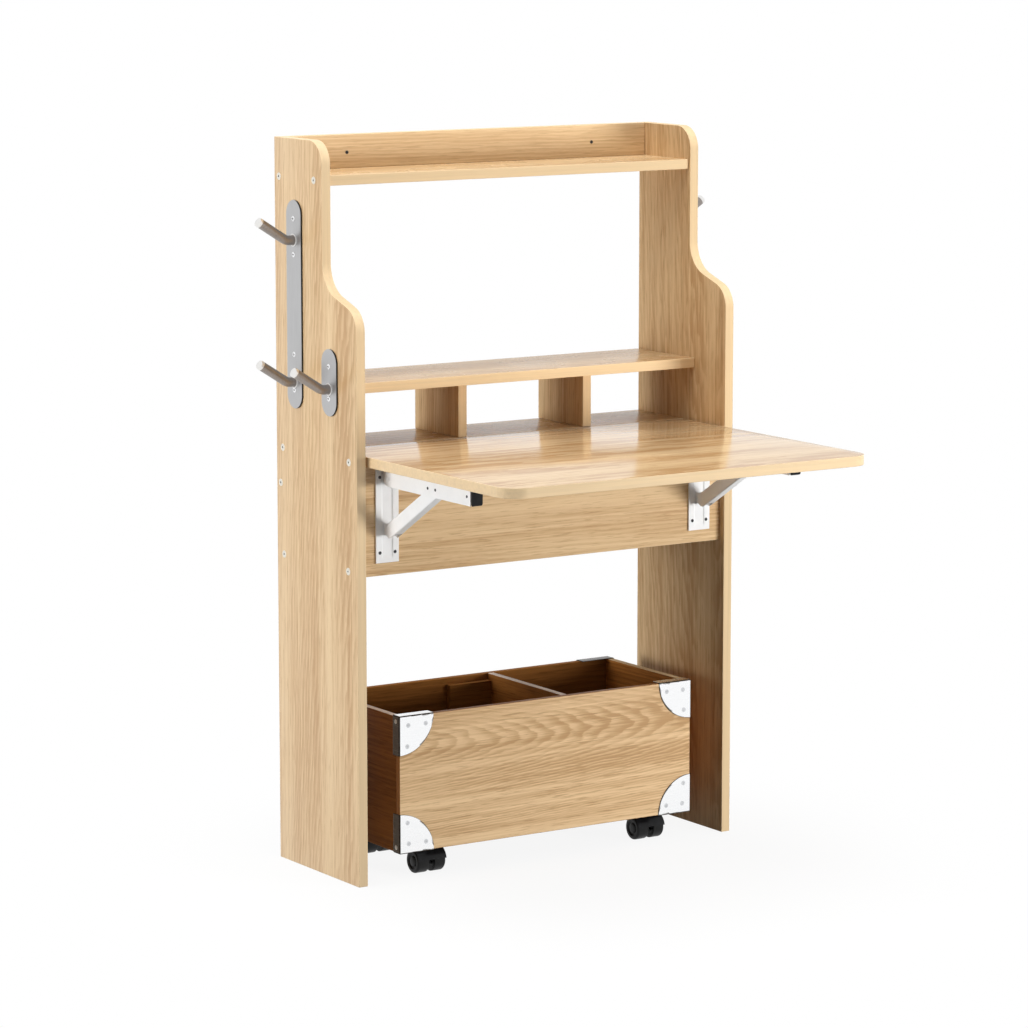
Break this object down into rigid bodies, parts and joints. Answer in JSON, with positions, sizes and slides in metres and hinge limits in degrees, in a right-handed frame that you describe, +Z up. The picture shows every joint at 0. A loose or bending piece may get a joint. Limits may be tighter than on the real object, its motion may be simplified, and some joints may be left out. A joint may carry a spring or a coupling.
{
  "type": "fold-down desk with storage cart",
  "caption": "Upright oak-board desk with a hutch, a desktop on folding steel brackets, coat pegs on its sides and a divided storage cart on swivel casters below.",
  "frame": {"origin": "on the floor, under the middle of the whole desk's box with the desktop open", "axes": "+Z up, +X to the user's right, +Y from the user to the back of the desk"},
  "size_m": [0.9592, 0.725, 1.3],
  "materials": {
    "oak_board": "matt printed oak board with pale edge banding",
    "brown_board": "matt brown oak board with pale edges",
    "white_steel": "satin white powder coat",
    "grey_steel": "satin grey steel",
    "peg_steel": "bright turned steel",
    "black_plastic": "semi-matt black moulded plastic"
  },
  "bodies": {
    "desk_frame": {"left_side_panel": "oak_board", "right_side_panel": "oak_board", "top_shelf": "oak_board", "top_back_rail": "oak_board", "hutch_shelf": "oak_board", "rear_desk_board": "oak_board", "left_hutch_divider": "oak_board", "right_hutch_divider": "oak_board", "front_apron": "oak_board", "compartment_floor": "oak_board", "back_stretcher": "oak_board", "left_long_peg_plate": "grey_steel", "left_short_peg_plate": "grey_steel", "right_long_peg_plate": "grey_steel", "left_upper_peg": "peg_steel", "left_lower_peg": "peg_steel", "left_short_peg": "peg_steel", "right_upper_peg": "peg_steel", "right_lower_peg": "peg_steel", "left_bracket_leg": "white_steel", "right_bracket_leg": "white_steel"},
    "desktop": {"desktop": "oak_board", "left_bracket_arm": "white_steel", "right_bracket_arm": "white_steel"},
    "left_strut": {"left_bracket_strut": "white_steel"},
    "left_lever": {"left_release_lever": "black_plastic"},
    "right_strut": {"right_bracket_strut": "white_steel"},
    "right_lever": {"right_release_lever": "black_plastic"},
    "cart": {"cart_front": "oak_board", "cart_back": "brown_board", "cart_left_end": "brown_board", "cart_right_end": "brown_board", "cart_floor": "brown_board", "cart_divider": "brown_board", "cart_divider_cleat": "brown_board", "front_upper_left_corner_guard": "white_steel", "front_upper_right_corner_guard": "white_steel", "front_lower_left_corner_guard": "white_steel", "front_lower_right_corner_guard": "white_steel", "rear_upper_left_corner_guard": "white_steel", "rear_upper_right_corner_guard": "white_steel", "rear_lower_left_corner_guard": "white_steel", "rear_lower_right_corner_guard": "white_steel", "front_left_caster_plate": "grey_steel", "front_right_caster_plate": "grey_steel", "rear_left_caster_plate": "grey_steel", "rear_right_caster_plate": "grey_steel"},
    "front_left_caster": {"front_left_caster_yoke": "black_plastic"},
    "front_left_caster_wheel_pair": {"front_left_caster_wheels": "black_plastic"},
    "front_right_caster": {"front_right_caster_yoke": "black_plastic"},
    "front_right_caster_wheel_pair": {"front_right_caster_wheels": "black_plastic"},
    "rear_left_caster": {"rear_left_caster_yoke": "black_plastic"},
    "rear_left_caster_wheel_pair": {"rear_left_caster_wheels": "black_plastic"},
    "rear_right_caster": {"rear_right_caster_yoke": "black_plastic"},
    "rear_right_caster_wheel_pair": {"rear_right_caster_wheels": "black_plastic"}
  },
  "joints": [
    {"name": "desktop_fold", "type": "hinge", "parent": "desk_frame", "child": "desktop", "pos_m": [0, 0.0737, 0.722], "axis": [1, 0, 0], "range_deg": [0, 90]},
    {"name": "left_strut_swing", "type": "hinge", "parent": "desk_frame", "child": "left_strut", "pos_m": [-0.333, 0.0737, 0.6296], "axis": [1, 0, 0], "range_deg": [0, 121]},
    {"name": "left_release", "type": "hinge", "parent": "desktop", "child": "left_lever", "pos_m": [-0.333, -0.1613, 0.737], "axis": [-1, 0, 0], "range_deg": [0, 3], "stiffness_Nm_per_rad": 1.5},
    {"name": "right_strut_swing", "type": "hinge", "parent": "desk_frame", "child": "right_strut", "pos_m": [0.333, 0.0737, 0.6296], "axis": [1, 0, 0], "range_deg": [0, 121]},
    {"name": "right_release", "type": "hinge", "parent": "desktop", "child": "right_lever", "pos_m": [0.333, -0.1613, 0.737], "axis": [-1, 0, 0], "range_deg": [0, 3], "stiffness_Nm_per_rad": 1.5},
    {"name": "cart_roll_out", "type": "slide", "parent": "desk_frame", "child": "cart", "axis": [0, -1, 0], "range_m": [0, 0.45]},
    {"name": "front_left_caster_swivel", "type": "hinge", "parent": "cart", "child": "front_left_caster", "pos_m": [-0.237, 0.1375, 0.04], "axis": [0, 0, 1], "continuous": true},
    {"name": "front_left_caster_spin", "type": "hinge", "parent": "front_left_caster", "child": "front_left_caster_wheel_pair", "pos_m": [-0.237, 0.1255, 0.0215], "axis": [1, 0, 0], "continuous": true},
    {"name": "front_right_caster_swivel", "type": "hinge", "parent": "cart", "child": "front_right_caster", "pos_m": [0.237, 0.1375, 0.04], "axis": [0, 0, 1], "continuous": true},
    {"name": "front_right_caster_spin", "type": "hinge", "parent": "front_right_caster", "child": "front_right_caster_wheel_pair", "pos_m": [0.237, 0.1255, 0.0215], "axis": [1, 0, 0], "continuous": true},
    {"name": "rear_left_caster_swivel", "type": "hinge", "parent": "cart", "child": "rear_left_caster", "pos_m": [-0.237, 0.3135, 0.04], "axis": [0, 0, 1], "continuous": true},
    {"name": "rear_left_caster_spin", "type": "hinge", "parent": "rear_left_caster", "child": "rear_left_caster_wheel_pair", "pos_m": [-0.237, 0.3015, 0.0215], "axis": [1, 0, 0], "continuous": true},
    {"name": "rear_right_caster_swivel", "type": "hinge", "parent": "cart", "child": "rear_right_caster", "pos_m": [0.237, 0.3135, 0.04], "axis": [0, 0, 1], "continuous": true},
    {"name": "rear_right_caster_spin", "type": "hinge", "parent": "rear_right_caster", "child": "rear_right_caster_wheel_pair", "pos_m": [0.237, 0.3015, 0.0215], "axis": [1, 0, 0], "continuous": true}
  ],
  "couplings": [
    {"joint": "left_strut_swing", "follows": "desktop_fold", "ratio": 1.3394},
    {"joint": "right_strut_swing", "follows": "desktop_fold", "ratio": 1.3394}
  ]
}
